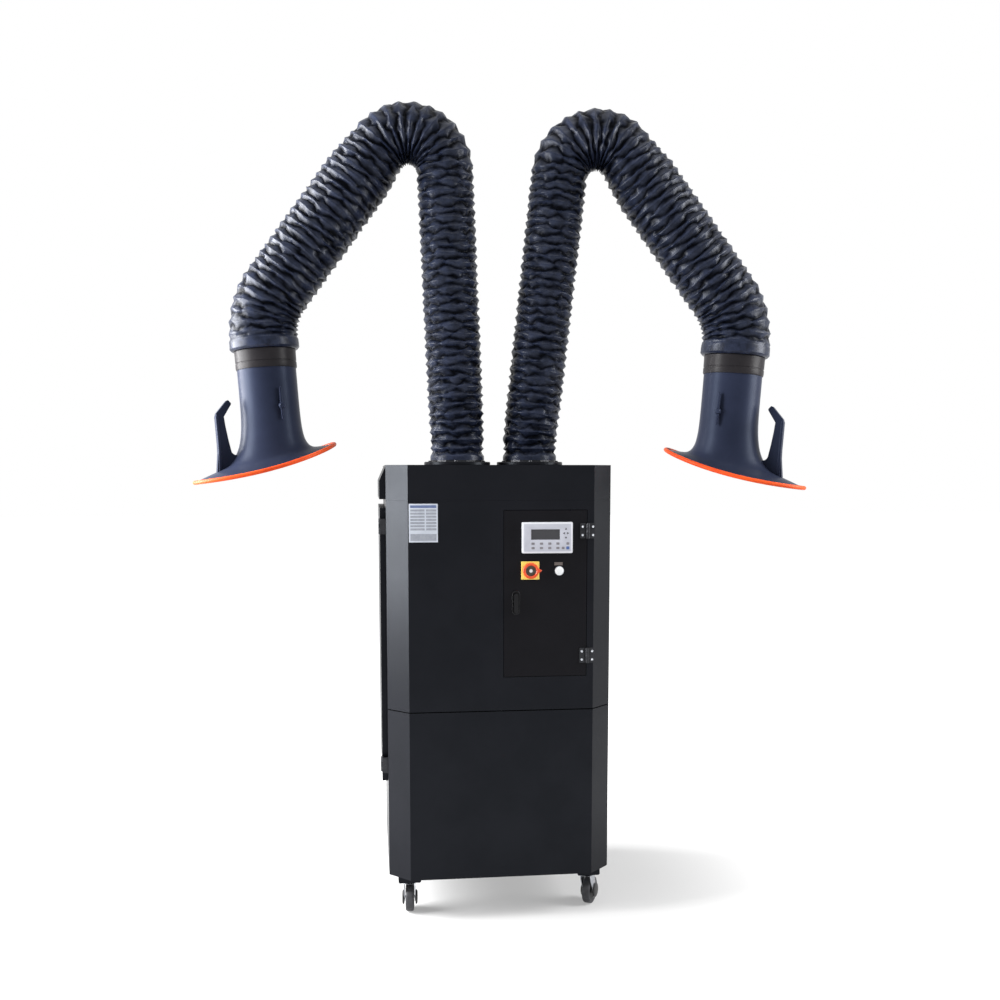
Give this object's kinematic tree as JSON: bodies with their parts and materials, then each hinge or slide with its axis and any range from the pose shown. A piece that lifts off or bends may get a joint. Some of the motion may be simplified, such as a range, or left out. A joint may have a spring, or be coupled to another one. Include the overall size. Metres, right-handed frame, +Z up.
{
  "type": "fume extractor",
  "caption": "Mobile fume extractor with a tall black cabinet on casters, ribbed self-supporting arms with flared hoods, a control door and a side filter door.",
  "frame": {"origin": "on the ground under the middle of the cabinet", "axes": "+Z up, -Y towards the front with the control door, +X to the right seen from the front"},
  "size_m": [1.7981, 0.6559, 2.3683],
  "materials": {
    "black_paint": "fine-textured powder coat, semi-gloss",
    "door_paint": "fine-textured powder coat, semi-gloss",
    "dark_steel": "dark zinc plated",
    "zinc": "bright zinc plated",
    "wheel": "dark grey tread on a black core",
    "hose": "glossy coated cloth over a wire coil",
    "hood": "moulded, satin",
    "collar": "moulded, satin",
    "rim": "soft matt",
    "steel_link": "plain steel",
    "panel_grey": "satin film",
    "glass": "display window",
    "switch_yellow": "moulded",
    "switch_red": "moulded",
    "lamp": "clear lens",
    "black_plastic": "moulded",
    "media": "pleated filter cloth with metal ends",
    "aluminium": "cast"
  },
  "bodies": {
    "cabinet": {"carcass": "black_paint", "lower_front_panel": "black_paint", "upper_front_panel": "black_paint", "top_cap": "black_paint", "filter_shelf": "black_paint", "filter_cartridge_left": "media", "filter_cartridge_right": "media", "fan_housing": "black_paint", "fan_motor": "aluminium", "exhaust_grille": "black_paint", "control_compartment": "panel_grey", "electrical_devices": "black_plastic", "control_hinge_lower": "dark_steel", "control_hinge_upper": "dark_steel", "service_hinge_lower": "dark_steel", "service_hinge_upper": "dark_steel", "arm_base_left": "black_paint", "arm_base_right": "black_paint"},
    "control_door": {"control_door": "door_paint", "hmi_panel": "panel_grey", "hmi_display": "glass", "isolator_plate": "switch_yellow", "pilot_lamp": "lamp", "lock_body": "black_plastic"},
    "isolator_handle": {"isolator_handle": "switch_red"},
    "lock_lever": {"lock_lever": "black_plastic"},
    "service_door": {"service_door": "door_paint"},
    "fan_rotor": {"fan_impeller": "aluminium"},
    "caster_swivel_front_left": {"caster_fork_front_left": "zinc"},
    "caster_wheel_front_left": {"caster_wheel_front_left": "wheel"},
    "caster_swivel_front_right": {"caster_fork_front_right": "zinc"},
    "caster_wheel_front_right": {"caster_wheel_front_right": "wheel"},
    "caster_swivel_rear_left": {"caster_fork_rear_left": "zinc"},
    "caster_wheel_rear_left": {"caster_wheel_rear_left": "wheel"},
    "caster_swivel_rear_right": {"caster_fork_rear_right": "zinc"},
    "caster_wheel_rear_right": {"caster_wheel_rear_right": "wheel"},
    "turret_left": {"turret_left": "steel_link", "hose_shoulder_left": "hose"},
    "lower_arm_left": {"lower_link_left": "steel_link", "hose_lower_left": "hose", "hose_elbow_left": "hose"},
    "upper_arm_left": {"upper_link_left": "steel_link", "hose_upper_left": "hose", "hose_cuff_left": "hose"},
    "hood_collar_left": {"hood_collar_left": "collar"},
    "hood_left": {"hood_left": "hood", "hood_rim_left": "rim"},
    "damper_left": {"damper_left": "dark_steel"},
    "turret_right": {"turret_right": "steel_link", "hose_shoulder_right": "hose"},
    "lower_arm_right": {"lower_link_right": "steel_link", "hose_lower_right": "hose", "hose_elbow_right": "hose"},
    "upper_arm_right": {"upper_link_right": "steel_link", "hose_upper_right": "hose", "hose_cuff_right": "hose"},
    "hood_collar_right": {"hood_collar_right": "collar"},
    "hood_right": {"hood_right": "hood", "hood_rim_right": "rim"},
    "damper_right": {"damper_right": "dark_steel"}
  },
  "joints": [
    {"name": "control_door_hinge", "type": "hinge", "parent": "cabinet", "child": "control_door", "pos_m": [0.24635, -0.305, 0], "axis": [0, 0, 1], "range_deg": [0, 110]},
    {"name": "isolator_turn", "type": "hinge", "parent": "control_door", "child": "isolator_handle", "pos_m": [0.0809, -0.3036, 1.0243], "axis": [0, 1, 0], "range_deg": [0, 90]},
    {"name": "lock_turn", "type": "hinge", "parent": "control_door", "child": "lock_lever", "pos_m": [0.0398, -0.3056, 0.9531], "axis": [0, 1, 0], "range_deg": [0, 90]},
    {"name": "service_door_hinge", "type": "hinge", "parent": "cabinet", "child": "service_door", "pos_m": [-0.3417, -0.2103, 0], "axis": [0, 0, 1], "range_deg": [0, 110]},
    {"name": "fan_spin", "type": "hinge", "parent": "cabinet", "child": "fan_rotor", "pos_m": [0, -0.02, 0.1336], "axis": [0, 0, 1], "continuous": true},
    {"name": "caster_swivel_front_left", "type": "hinge", "parent": "cabinet", "child": "caster_swivel_front_left", "pos_m": [-0.266, -0.226, 0], "axis": [0, 0, 1], "continuous": true},
    {"name": "caster_roll_front_left", "type": "hinge", "parent": "caster_swivel_front_left", "child": "caster_wheel_front_left", "pos_m": [-0.26405, -0.19807, 0.041], "axis": [0.9976, -0.0698, 0], "continuous": true},
    {"name": "caster_swivel_front_right", "type": "hinge", "parent": "cabinet", "child": "caster_swivel_front_right", "pos_m": [0.266, -0.226, 0], "axis": [0, 0, 1], "continuous": true},
    {"name": "caster_roll_front_right", "type": "hinge", "parent": "caster_swivel_front_right", "child": "caster_wheel_front_right", "pos_m": [0.28, -0.20175, 0.041], "axis": [0.866, -0.5, 0], "continuous": true},
    {"name": "caster_swivel_rear_left", "type": "hinge", "parent": "cabinet", "child": "caster_swivel_rear_left", "pos_m": [-0.266, 0.226, 0], "axis": [0, 0, 1], "continuous": true},
    {"name": "caster_roll_rear_left", "type": "hinge", "parent": "caster_swivel_rear_left", "child": "caster_wheel_rear_left", "pos_m": [-0.27182, 0.25339, 0.041], "axis": [0.9781, 0.2079, 0], "continuous": true},
    {"name": "caster_swivel_rear_right", "type": "hinge", "parent": "cabinet", "child": "caster_swivel_rear_right", "pos_m": [0.266, 0.226, 0], "axis": [0, 0, 1], "continuous": true},
    {"name": "caster_roll_rear_right", "type": "hinge", "parent": "caster_swivel_rear_right", "child": "caster_wheel_rear_right", "pos_m": [0.27465, 0.25263, 0.041], "axis": [0.9511, -0.309, 0], "continuous": true},
    {"name": "arm_swivel_left", "type": "hinge", "parent": "cabinet", "child": "turret_left", "pos_m": [-0.109, -0.088, 1.323], "axis": [0, 0, 1], "range_deg": [-90, 90]},
    {"name": "shoulder_left", "type": "hinge", "parent": "turret_left", "child": "lower_arm_left", "pos_m": [-0.109, -0.088, 1.398], "axis": [-0.1184, -0.993, 0], "range_deg": [-6, 35], "deforming": ["hose_shoulder_left"]},
    {"name": "elbow_left", "type": "hinge", "parent": "lower_arm_left", "child": "upper_arm_left", "pos_m": [-0.21161, -0.07576, 2.29311], "axis": [0.1184, 0.993, 0], "range_deg": [0, 100], "deforming": ["hose_elbow_left"]},
    {"name": "hood_tilt_left", "type": "hinge", "parent": "upper_arm_left", "child": "hood_collar_left", "pos_m": [-0.67623, -0.02036, 1.71057], "axis": [0.1184, 0.993, 0], "range_deg": [-15, 60], "deforming": ["hose_cuff_left"]},
    {"name": "hood_turn_left", "type": "hinge", "parent": "hood_collar_left", "child": "hood_left", "pos_m": [-0.66892, -0.02123, 1.60523], "axis": [-0.0693, 0.0083, 0.9976], "range_deg": [-90, 90]},
    {"name": "damper_turn_left", "type": "hinge", "parent": "hood_left", "child": "damper_left", "pos_m": [-0.66109, -0.02217, 1.4925], "axis": [0.4402, -0.8971, 0.038], "range_deg": [0, 90]},
    {"name": "arm_swivel_right", "type": "hinge", "parent": "cabinet", "child": "turret_right", "pos_m": [0.109, -0.088, 1.323], "axis": [0, 0, 1], "range_deg": [-90, 90]},
    {"name": "shoulder_right", "type": "hinge", "parent": "turret_right", "child": "lower_arm_right", "pos_m": [0.109, -0.088, 1.398], "axis": [0.1184, 0.993, 0], "range_deg": [-6, 35], "deforming": ["hose_shoulder_right"]},
    {"name": "elbow_right", "type": "hinge", "parent": "lower_arm_right", "child": "upper_arm_right", "pos_m": [0.26888, -0.10706, 2.28326], "axis": [-0.1184, -0.993, 0], "range_deg": [0, 100], "deforming": ["hose_elbow_right"]},
    {"name": "hood_tilt_right", "type": "hinge", "parent": "upper_arm_right", "child": "hood_collar_right", "pos_m": [0.71952, -0.1608, 1.69497], "axis": [-0.1184, -0.993, 0], "range_deg": [-15, 60], "deforming": ["hose_cuff_right"]},
    {"name": "hood_turn_right", "type": "hinge", "parent": "hood_collar_right", "child": "hood_right", "pos_m": [0.7122, -0.15993, 1.58962], "axis": [0.0693, -0.0083, 0.9976], "range_deg": [-90, 90]},
    {"name": "damper_turn_right", "type": "hinge", "parent": "hood_right", "child": "damper_right", "pos_m": [0.70438, -0.15899, 1.4769], "axis": [-0.6388, -0.7684, 0.038], "range_deg": [0, 90]}
  ]
}
